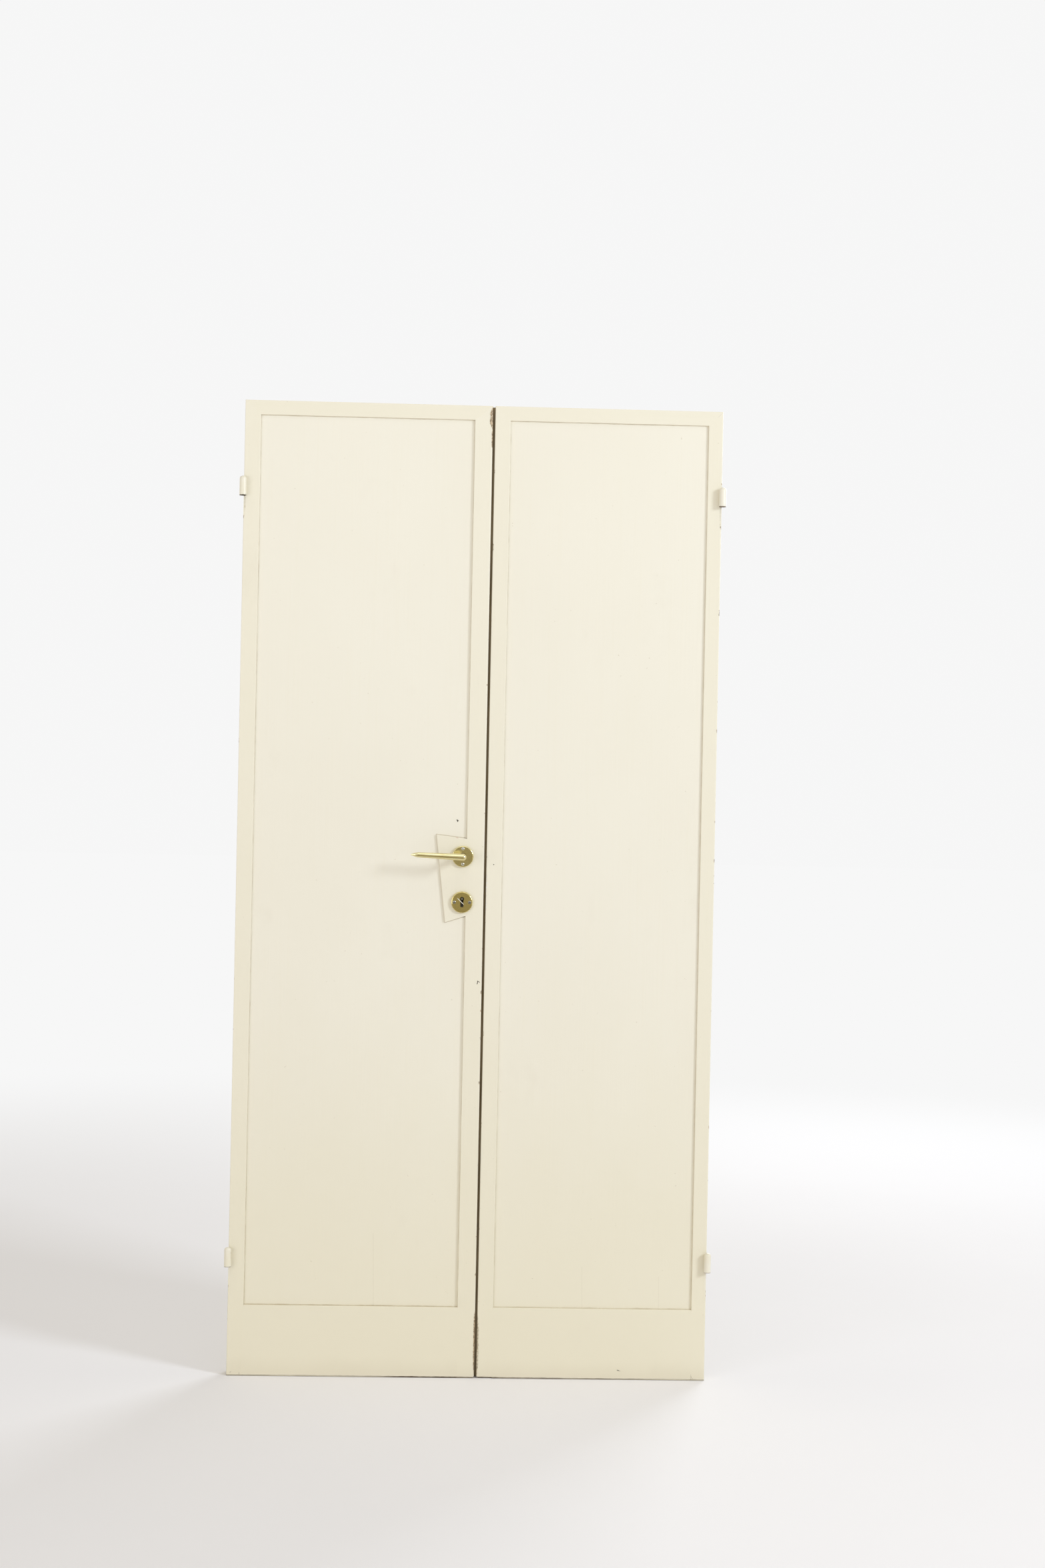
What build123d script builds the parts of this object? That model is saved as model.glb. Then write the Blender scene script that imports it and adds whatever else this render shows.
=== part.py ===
"""A pair of painted, panelled double doors with rebated meeting stiles.

The left leaf is the active one, with a lever, a mortise lock and a front lip. The right leaf is the passive
one, with a rear tongue behind that lip and two flush bolts in its edge. Both stand closed and upright.
Millimetres. X runs along the pair, Y from the front to the back, Z up. The origin is at the middle of the
pair's width and thickness, on the bottom edge.
"""

import os

from build123d import *

# Leaves
leaf_height = 2040.0
leaf_thickness = 40.0
active_face_width = 518.0
passive_face_width = 480.0
meeting_gap = 5.0
edge_radius = 1.5
arris_radius = 1.2
lip_radius = 3.0
worn_corner_radius = 5.0

# Rebate where the leaves meet: the active lip lies in front of the passive tongue
rebate_width = 16.0
rebate_lip = 16.0
rebate_clearance = 1.5
rear_gap = 4.0

# Frame members, as wide as they show on the front
active_hinge_stile_width = 33.0
active_lock_stile_width = 37.0
passive_meeting_stile_width = 32.5
passive_hinge_stile_width = 30.0
top_rail_height = 30.0
bottom_rail_height = 148.0

# Panels, held by a tongue in the grooves of the frame
panel_recess = 4.5
tongue_thickness = 10.0
tongue_depth = 10.0
tongue_end_gap = 0.8

# Skewed block that widens the lock stile under the handle
block_reach_top = 64.0
block_reach_bottom = 43.0
block_rise_stile = 37.5
block_rise_tip = 45.0
block_drop_stile = 29.0
block_drop_tip = 43.0

# Handle and key places
handle_height = 1094.0
backset = 45.0
key_axis_drop = 89.0
keyhole_rise = 7.0

# Lift-off hinge halves
upper_hinge_drop = 201.0
lower_hinge_height = 229.0
knuckle_radius = 7.25
knuckle_height = 41.0
knuckle_dome = 6.0
knuckle_bore_radius = 4.5
knuckle_bore_depth = 32.0
hinge_axis_offset = 1.0
hinge_face_clearance = 0.35
flap_thickness = 2.5
flap_depth = 30.0
flap_drop = 40.0
hinge_screw_spacing = 28.0
hinge_screw_stagger = 5.0

# Countersunk wood screws and small round-headed screws
screw_radius = 2.0
screw_head_radius = 3.9
screw_head_height = 2.2
screw_slot_width = 0.9
screw_slot_depth = 0.9
hinge_screw_length = 15.0
plate_screw_length = 10.0
flush_screw_length = 7.5
rose_screw_radius = 1.6
rose_screw_head_radius = 3.4
rose_screw_head_height = 1.3
rose_screw_length = 11.5
screw_clearance = 0.05

# Mortise lock
forend_width = 18.0
forend_thickness = 3.0
forend_overhang = 12.0
forend_screw_inset = 6.0
lock_margin = 1.0
case_rise = 34.0
case_drop = 33.0
case_depth = 52.0
case_thickness = 12.0
case_wall = 1.2
lock_fit = 0.3

# Follower turned by the spindle
follower_radius = 8.5
journal_radius = 7.5
journal_clearance = 0.06
follower_end_gap = 0.4
arm_width = 7.0
arm_reach = 16.0
arm_thickness = 5.0

# Latch bolt
latch_rise = 20.0
latch_height = 14.0
latch_thickness = 8.6
latch_throw = 10.0
latch_body = 16.0
latch_bar_drop = 2.0
latch_bar_height = 7.0
latch_bar_thickness = 4.0
latch_hook_gap = 0.7
latch_hook_width = 5.0
latch_hook_drop = 11.0

# Bent leaf spring behind the latch
spring_strip = 0.8
spring_seat_gap = 0.2
spring_bow = 6.0

# Dead bolt
bolt_drop = 39.0
bolt_height = 26.0
bolt_thickness = 8.6
bolt_throw = 12.0
bolt_body = 14.0
bolt_tail_thickness = 3.5
bolt_tail_back = 17.0
bolt_tail_above_key = 7.0
talon_width = 12.0
talon_height = 9.0
stump_radius = 2.5
stump_clearance = 0.3
stump_rise = 9.0

# Keyhole in the front only, and the pin that a hollow key fits over
keyhole_radius = 4.4
keyhole_slot_width = 6.4
keyhole_slot_drop = 17.0
wood_keyhole_width = 12.0
wood_keyhole_clearance = 3.0
key_pin_radius = 2.6
key_pin_sink = 4.0

# Roses and escutcheons
rose_radius = 22.5
rose_thickness = 6.0
rose_rim = 2.2
rose_collar_radius = 11.0
rose_collar_height = 1.2
rose_bore_clearance = 0.35
rose_screw_offset = 16.0
spindle_hole_radius = 9.6

# Levers and their square spindle
spindle_width = 8.0
spindle_clearance = 0.06
spindle_in_lever = 26.0
socket_end_gap = 0.5
neck_radius = 7.2
neck_seat_gap = 0.4
lever_stand = 52.0
lever_length = 108.0
lever_tip_rise = 3.9
lever_nose_radius = 5.3
lever_nose_length = 14.5
lever_nose_bulge = 0.5
lever_tip_radius = 0.9
set_screw_radius = 2.0
set_screw_stand = 14.0
set_screw_sink = 0.3

# Strike plate in the passive tongue
strike_thickness = 2.5
strike_width = 16.0
strike_window_clearance = 1.2
strike_pocket_depth = 14.0

# Flush bolts in the passive tongue
flush_plate_width = 14.0
flush_plate_height = 150.0
flush_plate_thickness = 2.5
flush_plate_inset = 220.0
flush_rod_radius = 4.0
flush_rod_clearance = 0.3
flush_pocket_clearance = 0.8
flush_rod_depth = 12.5
flush_rod_tail = 40.0
flush_end_sink = 2.0
flush_throw = 18.0
flush_thumb_width = 6.0
flush_thumb_height = 14.0
flush_thumb_proud = 1.0
flush_slot_clearance = 0.5
flush_screw_inset = 9.0

# One overrun for every cut that has to pass right through, how near counts as on a face, and the sweep of a
# domed head in degrees
overrun = 5.0
near = 0.01
quarter_turn = 90.0

# Places that follow from the sizes
front = -leaf_thickness / 2
back = leaf_thickness / 2
pair_width = active_face_width + meeting_gap + passive_face_width
left_edge = -pair_width / 2
right_edge = pair_width / 2
lip_edge = left_edge + active_face_width
core_edge = lip_edge - rebate_width
lip_back = front + rebate_lip
passive_edge = lip_edge + meeting_gap
tongue_edge = core_edge + rear_gap
tongue_front = lip_back + rebate_clearance
panel_face = leaf_thickness / 2 - panel_recess
top_rail_bottom = leaf_height - top_rail_height

active_inner_left = left_edge + active_hinge_stile_width
active_inner_right = lip_edge - active_lock_stile_width
passive_inner_left = passive_edge + passive_meeting_stile_width
passive_inner_right = right_edge - passive_hinge_stile_width

handle_x = lip_edge - backset
key_height = handle_height - key_axis_drop
escutcheon_height = key_height - keyhole_rise

lock_y = lip_back + lock_margin + forend_width / 2
case_front = lock_y - case_thickness / 2
case_back = lock_y + case_thickness / 2
case_right = core_edge - forend_thickness
case_left = case_right - case_depth
case_top = handle_height + case_rise
case_bottom = key_height - case_drop
forend_top = case_top + forend_overhang
forend_bottom = case_bottom - forend_overhang
latch_height_z = handle_height + latch_rise
bolt_height_z = handle_height - bolt_drop
stump_z = key_height + bolt_tail_above_key + talon_height + stump_rise

upper_hinge_height = leaf_height - upper_hinge_drop
hinge_axis_y = front - knuckle_radius - hinge_face_clearance
tongue_y = (tongue_front + back) / 2
flush_rod_x = tongue_edge + flush_rod_depth
neck_end = leaf_thickness / 2 + lever_stand
set_screw_y = leaf_thickness / 2 + set_screw_stand
hinge_undersides = (upper_hinge_height, lower_hinge_height)

# How a turned or square shape sits on its plane: standing on it, or hanging below it
standing = (Align.CENTER, Align.CENTER, Align.MIN)
hanging = (Align.CENTER, Align.CENTER, Align.MAX)

os.makedirs("parts", exist_ok=True)


def save(piece, label):
    """Name a finished piece and write it."""
    piece.part.label = label
    export_step(piece.part, f"parts/{label}.step")


def span_rectangle(x0, x1, y0, y1, mode=Mode.ADD):
    """A rectangle of the sketch in hand, from its edges."""
    with Locations(((x0 + x1) / 2, (y0 + y1) / 2)):
        Rectangle(abs(x1 - x0), abs(y1 - y0), mode=mode)


def span_box(x0, x1, y0, y1, z0, z1, mode=Mode.ADD):
    """A box of the part in hand, from its faces."""
    with Locations(((x0 + x1) / 2, (y0 + y1) / 2, (z0 + z1) / 2)):
        Box(abs(x1 - x0), abs(y1 - y0), abs(z1 - z0), mode=mode)


def cut_round(plane, radius, depth):
    """A round hole from a plane against its normal."""
    with Locations(plane.offset(overrun)):
        Cylinder(radius, depth + overrun, align=hanging, mode=Mode.SUBTRACT)


def face_plane(x, y, z, outward):
    """A plane on a face, with its normal pointing outward."""
    return Plane(origin=(x, y, z), z_dir=outward)


def active_plan():
    """Plan of the active leaf: its core, and the lip on the front of its meeting edge."""
    with BuildSketch(Plane.XY) as plan:
        span_rectangle(left_edge, core_edge, front, back)
        span_rectangle(core_edge, lip_edge, front, lip_back)
        corners = plan.vertices()
        fillet(corners.filter_by_position(Axis.X, left_edge, left_edge), edge_radius)
        lip_corner = plan.vertices().sort_by(Axis.X)[-2:].sort_by(Axis.Y)[0]
        fillet(lip_corner, lip_radius)
    return plan.sketch


def passive_plan():
    """Plan of the passive leaf: its body, and the tongue on the back of its meeting edge."""
    with BuildSketch(Plane.XY) as plan:
        span_rectangle(passive_edge, right_edge, front, back)
        span_rectangle(tongue_edge, passive_edge, tongue_front, back)
        corners = plan.vertices()
        fillet(corners.filter_by_position(Axis.X, right_edge, right_edge), edge_radius)
        meeting_corner = plan.vertices().filter_by_position(Axis.Y, front, front).sort_by(Axis.X)[0]
        fillet(meeting_corner, edge_radius)
    return plan.sketch


def cut_keyhole():
    """A keyhole through a plate of the front: a round top, and a straight slot under it."""
    key_plane = Plane((handle_x, front, key_height), x_dir=(1, 0, 0), z_dir=(0, -1, 0))
    with BuildSketch(key_plane, mode=Mode.PRIVATE) as hole:
        Circle(keyhole_radius)
        span_rectangle(-keyhole_slot_width / 2, keyhole_slot_width / 2, -keyhole_slot_drop, 0)
    extrude(hole.sketch, amount=leaf_thickness, both=True, mode=Mode.SUBTRACT)


def cut_lock_space():
    """Room in the wood for the lock case, the spindle, and the key on the front."""
    span_box(case_left - lock_fit, case_right, case_front - lock_fit, case_back + lock_fit,
             case_bottom - lock_fit, case_top + lock_fit, mode=Mode.SUBTRACT)
    span_box(case_right, core_edge, lock_y - forend_width / 2, lock_y + forend_width / 2,
             forend_bottom, forend_top, mode=Mode.SUBTRACT)
    cut_round(face_plane(handle_x, front, handle_height, (0, -1, 0)), spindle_hole_radius,
              leaf_thickness + overrun)
    half = wood_keyhole_width / 2
    span_box(handle_x - half, handle_x + half, front - overrun, case_front,
             key_height - keyhole_slot_drop - wood_keyhole_clearance,
             key_height + keyhole_radius + wood_keyhole_clearance, mode=Mode.SUBTRACT)


def rose_screw_planes(side):
    """Where the screws of a handle rose enter, on one face of the leaf, and on the front the escutcheon's."""
    face = side * (leaf_thickness / 2 + rose_thickness)
    outward = (0, side, 0)
    planes = [face_plane(handle_x, face, handle_height + way * rose_screw_offset, outward) for way in (1, -1)]
    if side < 0:
        for way in (1, -1):
            planes.append(face_plane(handle_x + way * rose_screw_offset, face, escutcheon_height, outward))
    return planes


def cut_rose_screw_holes(side):
    """Holes for the rose and escutcheon screws of one face, in the part in hand."""
    for plane in rose_screw_planes(side):
        cut_round(plane, rose_screw_radius + screw_clearance, rose_screw_length)


def ease_arrises(piece, along, across, place):
    """Round a piece's longest edges on the leaf's two faces, along one axis, at a place on another."""
    for face_y in (front, back):
        arrises = piece.edges().filter_by(along)
        arrises = arrises.filter_by_position(across, place - near, place + near)
        arrises = arrises.filter_by_position(Axis.Y, face_y - near, face_y + near)
        fillet(arrises.sort_by(SortBy.LENGTH)[-1], arris_radius)


def hinge_screw_planes(edge, side, underside):
    """Where the three screws of a hinge flap enter the stile's edge."""
    middle_y = front + flap_depth / 2
    planes = []
    for step, shift in ((-1, -1), (0, 1), (1, -1)):
        y = middle_y + shift * hinge_screw_stagger
        planes.append(face_plane(edge, y, underside + step * hinge_screw_spacing, (side, 0, 0)))
    return planes


def countersink(plane):
    """A countersunk hole for one wood screw in a plate."""
    with Locations(plane):
        Cone(screw_radius + screw_clearance, screw_head_radius + screw_clearance, screw_head_height,
             align=hanging, mode=Mode.SUBTRACT)
    cut_round(plane, screw_radius + screw_clearance, hinge_screw_length)


def wood_screw(plane, length):
    """One slotted countersunk screw, its head flush with the plane."""
    with Locations(plane):
        Cone(screw_radius, screw_head_radius, screw_head_height, align=hanging)
        Cylinder(screw_radius, length, align=hanging)
        Box(screw_head_radius + screw_head_radius, screw_slot_width, screw_slot_depth,
            align=hanging, mode=Mode.SUBTRACT)


def hinge_stile(leaf_plan, edge, side, width):
    """A stile that carries the hinges, mitred at its top, with the flaps let into its edge."""
    inner = edge - side * width
    with BuildPart() as stile:
        extrude(leaf_plan, amount=leaf_height)
        with BuildSketch(Plane.XZ):
            Polygon((edge, 0), (edge, leaf_height), (inner, top_rail_bottom), (inner, 0), align=None)
        extrude(amount=leaf_thickness, both=True, mode=Mode.INTERSECT)
        span_box(inner, inner + side * tongue_depth, -tongue_thickness / 2, tongue_thickness / 2,
                 0, leaf_height, mode=Mode.SUBTRACT)
        for underside in hinge_undersides:
            span_box(edge, edge - side * flap_thickness, front, front + flap_depth,
                     underside - flap_drop, underside + knuckle_height, mode=Mode.SUBTRACT)
            for plane in hinge_screw_planes(edge, side, underside):
                cut_round(plane, screw_radius + screw_clearance, hinge_screw_length)
        ease_arrises(stile, Axis.Z, Axis.X, inner)
    return stile


def top_rail(leaf_plan, left, left_inner, right_inner, right):
    """A top rail, mitred at both ends, grooved for the panel."""
    with BuildPart() as rail:
        extrude(leaf_plan, amount=leaf_height)
        with BuildSketch(Plane.XZ):
            Polygon((left, leaf_height), (right, leaf_height), (right_inner, top_rail_bottom),
                    (left_inner, top_rail_bottom), align=None)
        extrude(amount=leaf_thickness, both=True, mode=Mode.INTERSECT)
        span_box(left, right, -tongue_thickness / 2, tongue_thickness / 2,
                 top_rail_bottom, top_rail_bottom + tongue_depth, mode=Mode.SUBTRACT)
        ease_arrises(rail, Axis.X, Axis.Z, top_rail_bottom)
    return rail


def bottom_rail(left_inner, right_inner):
    """A bottom rail between its stiles, with stub tenons in their grooves and a groove for the panel."""
    with BuildPart() as rail:
        span_box(left_inner, right_inner, front, back, 0, bottom_rail_height)
        span_box(left_inner - tongue_depth, right_inner + tongue_depth,
                 -tongue_thickness / 2, tongue_thickness / 2, 0, bottom_rail_height)
        span_box(left_inner - tongue_depth, right_inner + tongue_depth,
                 -tongue_thickness / 2, tongue_thickness / 2,
                 bottom_rail_height - tongue_depth, bottom_rail_height, mode=Mode.SUBTRACT)
        ease_arrises(rail, Axis.X, Axis.Z, bottom_rail_height)
    return rail


def panel_blank(left_inner, right_inner):
    """A thick panel with a tongue all round, set in the part in hand."""
    reach = tongue_depth - tongue_end_gap
    span_box(left_inner, right_inner, -panel_face, panel_face, bottom_rail_height, top_rail_bottom)
    span_box(left_inner - reach, right_inner + reach, -tongue_thickness / 2, tongue_thickness / 2,
             bottom_rail_height - reach, top_rail_bottom + reach)


def hinge_half(edge, side, underside):
    """The upper half of a lift-off hinge: a domed knuckle with a blind bore, and its flap."""
    axis_x = edge + side * hinge_axis_offset
    knuckle_plane = Plane(origin=(axis_x, hinge_axis_y, underside), x_dir=(1, 0, 0), z_dir=(0, -1, 0))
    straight = knuckle_height - knuckle_dome
    with BuildPart() as hinge:
        with BuildSketch(knuckle_plane):
            with BuildLine():
                Polyline((0, knuckle_height), (0, 0), (knuckle_radius, 0), (knuckle_radius, straight))
                EllipticalCenterArc((0, straight), knuckle_radius, knuckle_dome,
                                    start_angle=0, arc_size=quarter_turn)
            make_face()
        revolve(axis=Axis((axis_x, hinge_axis_y, underside), (0, 0, 1)))
        inner = edge - side * flap_thickness
        span_box(edge, inner, hinge_axis_y, front, underside, underside + straight)
        span_box(edge, inner, front, front + flap_depth, underside - flap_drop, underside + knuckle_height)
        cut_round(face_plane(axis_x, hinge_axis_y, underside, (0, 0, -1)), knuckle_bore_radius,
                  knuckle_bore_depth)
        for plane in hinge_screw_planes(edge, side, underside):
            countersink(plane)
    return hinge


def hinge_screws(edge, side):
    """The screws of both hinges of a leaf."""
    with BuildPart() as screws:
        for underside in hinge_undersides:
            for plane in hinge_screw_planes(edge, side, underside):
                wood_screw(plane, hinge_screw_length)
    return screws


# Wooden frame of the active leaf
lock_screw_heights = (forend_bottom + forend_screw_inset, forend_top - forend_screw_inset)
forend_screw_planes = [face_plane(core_edge, lock_y, height, (1, 0, 0)) for height in lock_screw_heights]
active_outline = active_plan()
save(hinge_stile(active_outline, left_edge, -1, active_hinge_stile_width), "active_hinge_stile")

with BuildPart() as active_lock_stile:
    extrude(active_outline, amount=leaf_height)
    with BuildSketch(Plane.XZ) as lock_stile_outline:
        Polygon((active_inner_right, 0), (lip_edge, 0), (lip_edge, leaf_height),
                (active_inner_right, top_rail_bottom), align=None)
        fillet(lock_stile_outline.vertices().group_by(Axis.Y)[0].sort_by(Axis.X)[-1], worn_corner_radius)
    extrude(amount=leaf_thickness, both=True, mode=Mode.INTERSECT)
    span_box(active_inner_right, active_inner_right + tongue_depth,
             -tongue_thickness / 2, tongue_thickness / 2, 0, leaf_height, mode=Mode.SUBTRACT)
    cut_lock_space()
    cut_rose_screw_holes(-1)
    cut_rose_screw_holes(1)
    for forend_screw_plane in forend_screw_planes:
        cut_round(forend_screw_plane, screw_radius + screw_clearance, plate_screw_length)
save(active_lock_stile, "active_lock_stile")

save(top_rail(active_outline, left_edge, active_inner_left, active_inner_right, lip_edge), "active_top_rail")
save(bottom_rail(active_inner_left, active_inner_right), "active_bottom_rail")

with BuildPart() as active_panel:
    panel_blank(active_inner_left, active_inner_right)
    cut_lock_space()
    cut_rose_screw_holes(-1)
    cut_rose_screw_holes(1)
save(active_panel, "active_panel")


def lock_block(side):
    """A skewed block on one face of the panel, flush with the lock stile."""
    stile = active_inner_right
    with BuildPart() as block:
        with BuildSketch(Plane.XZ.offset(-side * panel_face)):
            Polygon((stile, handle_height + block_rise_stile),
                    (stile - block_reach_top, handle_height + block_rise_tip),
                    (stile - block_reach_bottom, escutcheon_height - block_drop_tip),
                    (stile, escutcheon_height - block_drop_stile), align=None)
        extrude(amount=-side * panel_recess)
        face_y = side * leaf_thickness / 2
        rim = block.edges().filter_by_position(Axis.Y, face_y - near, face_y + near).sort_by(Axis.X)[:-1]
        fillet(rim, arris_radius)
        cut_lock_space()
        cut_rose_screw_holes(side)
    return block


save(lock_block(-1), "front_lock_block")
save(lock_block(1), "rear_lock_block")

# Wooden frame of the passive leaf
passive_outline = passive_plan()
save(hinge_stile(passive_outline, right_edge, 1, passive_hinge_stile_width), "passive_hinge_stile")
save(top_rail(passive_outline, passive_edge, passive_inner_left, passive_inner_right, right_edge),
     "passive_top_rail")
save(bottom_rail(passive_inner_left, passive_inner_right), "passive_bottom_rail")

with BuildPart() as passive_panel:
    panel_blank(passive_inner_left, passive_inner_right)
save(passive_panel, "passive_panel")

flush_plate_middles = {"top": (leaf_height - flush_plate_inset, 1), "bottom": (flush_plate_inset, -1)}


def flush_screw_planes(middle):
    """Where the two screws of a flush bolt's plate enter the tongue."""
    reach = flush_plate_height / 2 - flush_screw_inset
    return [face_plane(tongue_edge, tongue_y, middle + step * reach, (-1, 0, 0)) for step in (-1, 1)]


def strike_screw_planes():
    """Where the two screws of the strike plate enter the tongue."""
    return [face_plane(tongue_edge, lock_y, height, (-1, 0, 0)) for height in lock_screw_heights]


def bolt_windows(x0, x1):
    """Windows for the latch and the dead bolt through the part in hand, between two places along X."""
    for height, size, thickness in ((latch_height_z, latch_height, latch_thickness),
                                    (bolt_height_z, bolt_height, bolt_thickness)):
        half = size / 2 + strike_window_clearance
        side = thickness / 2 + strike_window_clearance
        span_box(x0, x1, lock_y - side, lock_y + side, height - half, height + half, mode=Mode.SUBTRACT)


with BuildPart() as passive_meeting_stile:
    extrude(passive_outline, amount=leaf_height)
    with BuildSketch(Plane.XZ):
        Polygon((tongue_edge, 0), (tongue_edge, leaf_height), (passive_edge, leaf_height),
                (passive_inner_left, top_rail_bottom), (passive_inner_left, 0), align=None)
    extrude(amount=leaf_thickness, both=True, mode=Mode.INTERSECT)
    span_box(passive_inner_left - tongue_depth, passive_inner_left,
             -tongue_thickness / 2, tongue_thickness / 2, 0, leaf_height, mode=Mode.SUBTRACT)
    span_box(tongue_edge, tongue_edge + strike_thickness,
             lock_y - strike_width / 2, lock_y + strike_width / 2,
             forend_bottom, forend_top, mode=Mode.SUBTRACT)
    bolt_windows(tongue_edge, tongue_edge + strike_pocket_depth)
    for strike_screw_plane in strike_screw_planes():
        cut_round(strike_screw_plane, screw_radius + screw_clearance, plate_screw_length)
    for plate_middle, rod_way in flush_plate_middles.values():
        half_plate = flush_plate_height / 2
        span_box(tongue_edge, tongue_edge + flush_plate_thickness, tongue_y - flush_plate_width / 2,
                 tongue_y + flush_plate_width / 2, plate_middle - half_plate, plate_middle + half_plate,
                 mode=Mode.SUBTRACT)
        half_pocket = flush_rod_radius + flush_pocket_clearance
        pocket_reach = flush_rod_tail + flush_throw
        span_box(tongue_edge, flush_rod_x + half_pocket, tongue_y - half_pocket, tongue_y + half_pocket,
                 plate_middle - pocket_reach, plate_middle + pocket_reach, mode=Mode.SUBTRACT)
        rod_end = leaf_height if rod_way > 0 else 0
        cut_round(face_plane(flush_rod_x, tongue_y, rod_end, (0, 0, rod_way)),
                  flush_rod_radius + flush_rod_clearance, flush_plate_inset)
        for flush_screw_plane in flush_screw_planes(plate_middle):
            cut_round(flush_screw_plane, screw_radius + screw_clearance, flush_screw_length)
    ease_arrises(passive_meeting_stile, Axis.Z, Axis.X, passive_inner_left)
    foot = passive_meeting_stile.edges().filter_by(Axis.Y).filter_by_position(Axis.Z, -near, near)
    fillet(foot.filter_by_position(Axis.X, passive_edge - near, passive_edge + near), worn_corner_radius)
save(passive_meeting_stile, "passive_meeting_stile")

# Hinge halves and their screws
for leaf_name, leaf_edge, leaf_side in (("active", left_edge, -1), ("passive", right_edge, 1)):
    save(hinge_half(leaf_edge, leaf_side, upper_hinge_height), f"{leaf_name}_upper_hinge")
    save(hinge_half(leaf_edge, leaf_side, lower_hinge_height), f"{leaf_name}_lower_hinge")
    save(hinge_screws(leaf_edge, leaf_side), f"{leaf_name}_hinge_screws")


# Mortise lock
def cut_journal():
    """Bearing hole for the follower through a plate of the lock."""
    cut_round(face_plane(handle_x, front, handle_height, (0, -1, 0)), journal_radius + journal_clearance,
              leaf_thickness)


with BuildPart() as lock_case:
    span_box(case_left, case_right, case_front + case_wall, case_back, case_bottom, case_top)
    span_box(case_left + case_wall, case_right, case_front, case_back - case_wall,
             case_bottom + case_wall, case_top - case_wall, mode=Mode.SUBTRACT)
    cut_journal()
    with Locations(face_plane(handle_x, case_front + case_wall, stump_z, (0, -1, 0))):
        Cylinder(stump_radius, case_thickness - case_wall - case_wall / 2, align=hanging)
    with Locations(face_plane(handle_x, front + key_pin_sink, key_height, (0, -1, 0))):
        Cylinder(key_pin_radius, case_back - case_wall / 2 - front - key_pin_sink, align=hanging)
save(lock_case, "lock_case")

with BuildPart() as lock_cover:
    span_box(case_left, case_right, case_front, case_front + case_wall, case_bottom, case_top)
    cut_journal()
    cut_keyhole()
save(lock_cover, "lock_cover")

with BuildPart() as lock_forend:
    span_box(case_right, core_edge, lock_y - forend_width / 2, lock_y + forend_width / 2,
             forend_bottom, forend_top)
    for window_height, window_size, window_thickness in ((latch_height_z, latch_height, latch_thickness),
                                                         (bolt_height_z, bolt_height, bolt_thickness)):
        half_window = window_size / 2 + lock_fit
        half_side = window_thickness / 2 + lock_fit
        span_box(case_right, core_edge, lock_y - half_side, lock_y + half_side,
                 window_height - half_window, window_height + half_window, mode=Mode.SUBTRACT)
    for screw_plane in forend_screw_planes:
        countersink(screw_plane)
save(lock_forend, "lock_forend")

with BuildPart() as forend_screws:
    for screw_plane in forend_screw_planes:
        wood_screw(screw_plane, plate_screw_length)
save(forend_screws, "forend_screws")

with BuildPart() as lock_follower:
    with Locations(face_plane(handle_x, lock_y, handle_height, (0, 1, 0))):
        Cylinder(journal_radius, case_thickness)
        Cylinder(follower_radius, case_thickness - case_wall - case_wall - follower_end_gap)
    span_box(handle_x - arm_width / 2, handle_x + arm_width / 2, lock_y - arm_thickness / 2,
             lock_y + arm_thickness / 2, handle_height, handle_height + arm_reach)
    half_square = spindle_width / 2 + spindle_clearance
    span_box(handle_x - half_square, handle_x + half_square, front, back,
             handle_height - half_square, handle_height + half_square, mode=Mode.SUBTRACT)
save(lock_follower, "lock_follower")

latch_inner = case_right - latch_body
hook_right = handle_x - arm_width / 2 - latch_hook_gap
hook_left = hook_right - latch_hook_width
latch_bar_bottom = latch_height_z - latch_bar_drop
latch_bar_top = latch_bar_bottom + latch_bar_height

with BuildPart() as latch_bolt:
    with BuildSketch(Plane.XY.offset(latch_height_z - latch_height / 2)):
        half_latch = latch_thickness / 2
        Polygon((latch_inner, lock_y - half_latch), (core_edge + latch_throw, lock_y - half_latch),
                (core_edge + latch_throw - latch_thickness, lock_y + half_latch),
                (latch_inner, lock_y + half_latch), align=None)
    extrude(amount=latch_height)
    half_bar = latch_bar_thickness / 2
    span_box(hook_left, latch_inner, lock_y - half_bar, lock_y + half_bar, latch_bar_bottom, latch_bar_top)
    span_box(hook_left, hook_right, lock_y - half_bar, lock_y + half_bar,
             latch_height_z - latch_hook_drop, latch_bar_top)
save(latch_bolt, "latch_bolt")

spring_left = case_left + case_wall + spring_seat_gap
spring_right = hook_left - spring_seat_gap
spring_middle = (latch_bar_bottom + latch_bar_top) / 2
with BuildPart() as latch_spring:
    with BuildSketch(Plane.XZ.offset(-lock_y)):
        with BuildLine():
            Polyline((spring_left, spring_middle - spring_bow), (spring_right - spring_strip, spring_middle),
                     (spring_left, spring_middle + spring_bow))
            Polyline((spring_left, spring_middle + spring_bow),
                     (spring_left + spring_strip, spring_middle + spring_bow),
                     (spring_right, spring_middle),
                     (spring_left + spring_strip, spring_middle - spring_bow),
                     (spring_left, spring_middle - spring_bow))
        make_face()
    extrude(amount=latch_bar_thickness / 2, both=True)
save(latch_spring, "latch_spring")

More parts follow.
